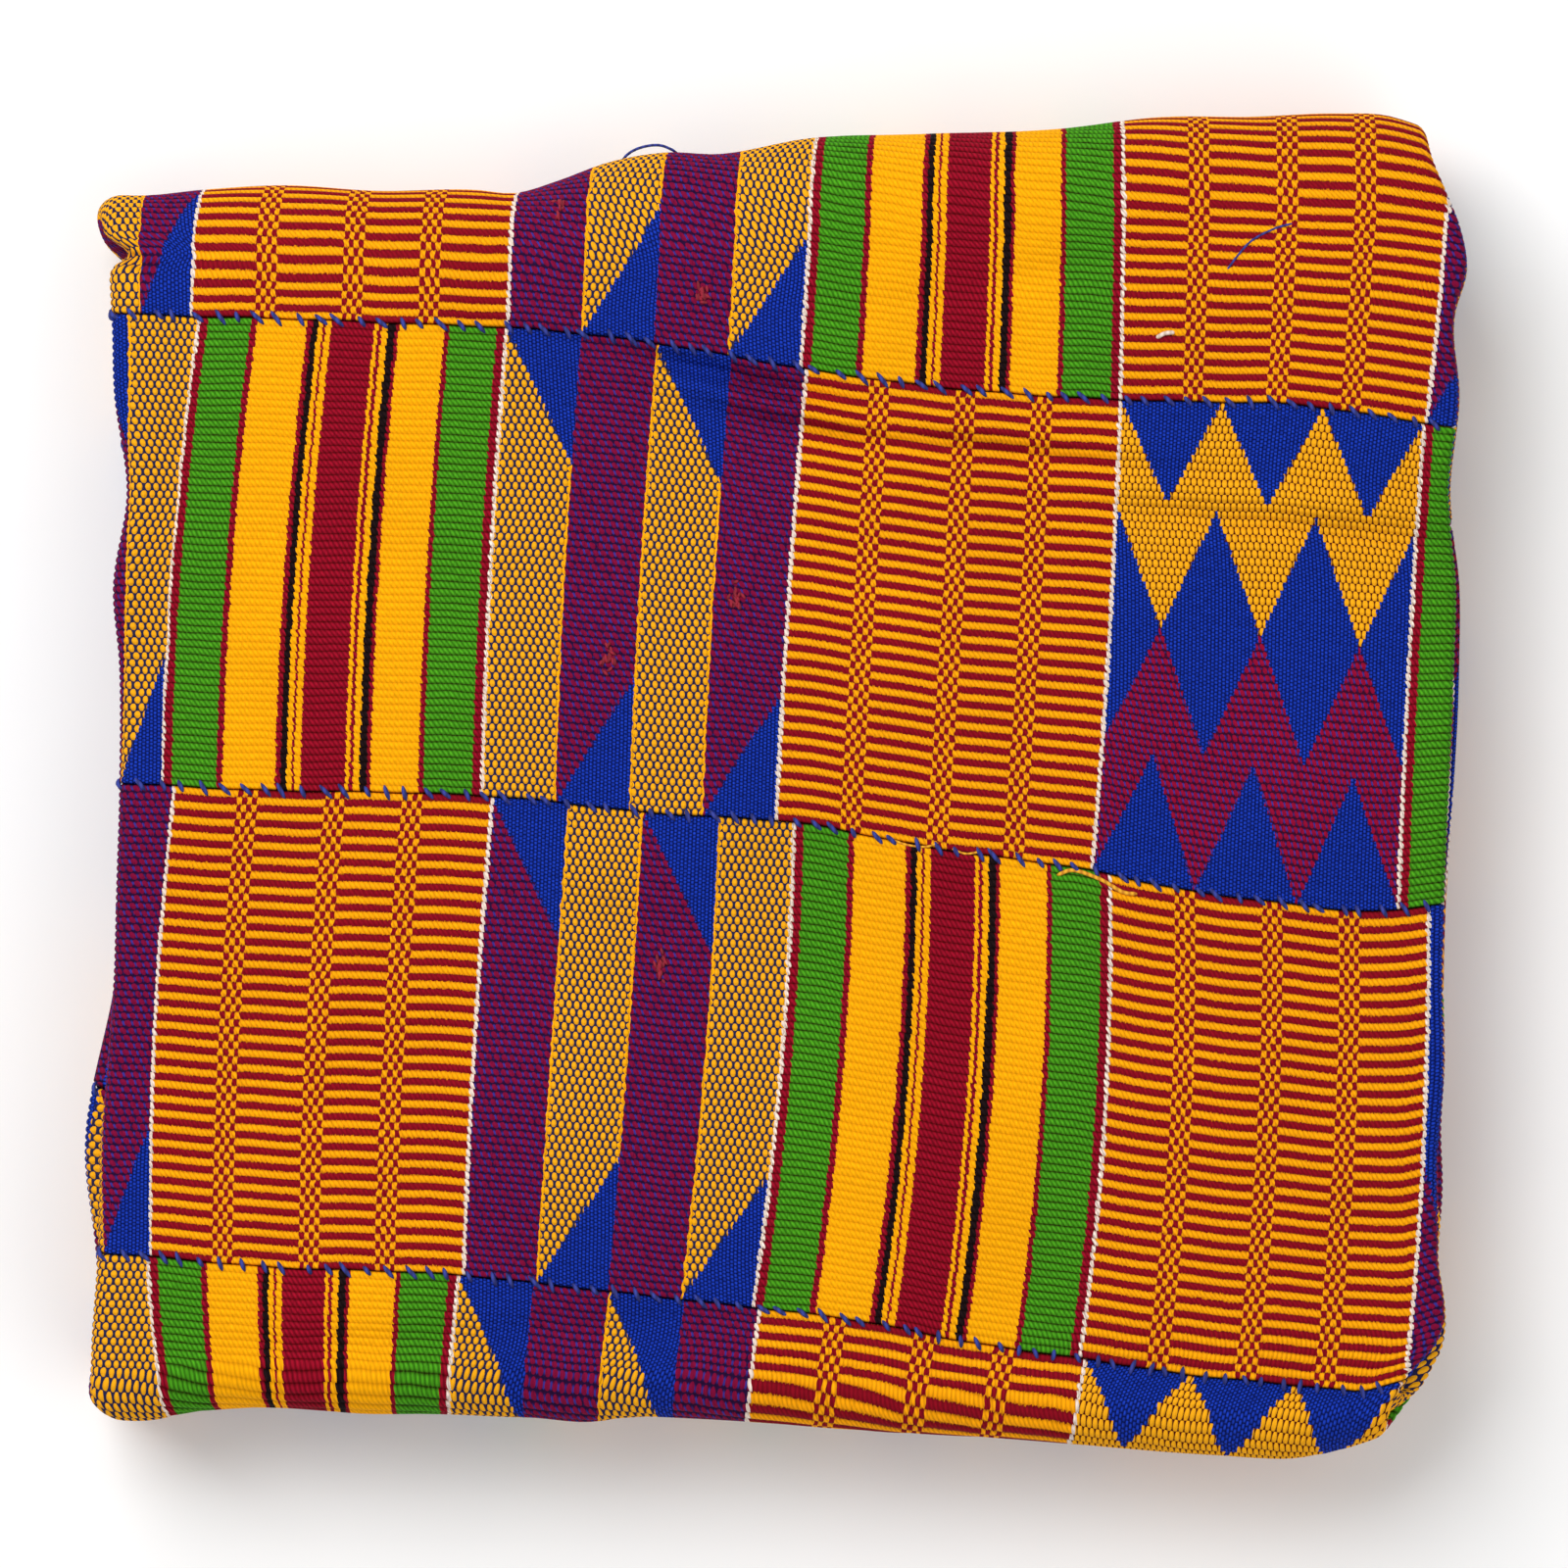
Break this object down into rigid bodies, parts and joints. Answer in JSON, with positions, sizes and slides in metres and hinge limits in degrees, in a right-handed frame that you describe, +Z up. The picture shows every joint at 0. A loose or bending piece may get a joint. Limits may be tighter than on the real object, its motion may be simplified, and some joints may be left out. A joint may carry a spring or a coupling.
{
  "type": "folded kente cloth",
  "caption": "Folded kente cloth, woven strips sewn edge to edge and folded several layers deep in both directions, lying flat with one thick wrapped edge.",
  "frame": {"origin": "middle of the upright box, on the surface the cloth lies on", "axes": "+Z up through the layers; +Y towards the thick wrapped edge; +X along the strips"},
  "size_m": [0.2912, 0.2822, 0.0452],
  "materials": {
    "kente_weave": "handwoven cotton and rayon strips, matt ribs with a soft sheen on the floats"
  },
  "bodies": {
    "root": {"strip_01": "kente_weave", "strip_02": "kente_weave", "strip_03": "kente_weave", "strip_04": "kente_weave", "strip_05": "kente_weave", "strip_06": "kente_weave", "strip_07": "kente_weave", "strip_08": "kente_weave", "strip_09": "kente_weave", "strip_10": "kente_weave", "strip_11": "kente_weave"}
  },
  "joints": []
}
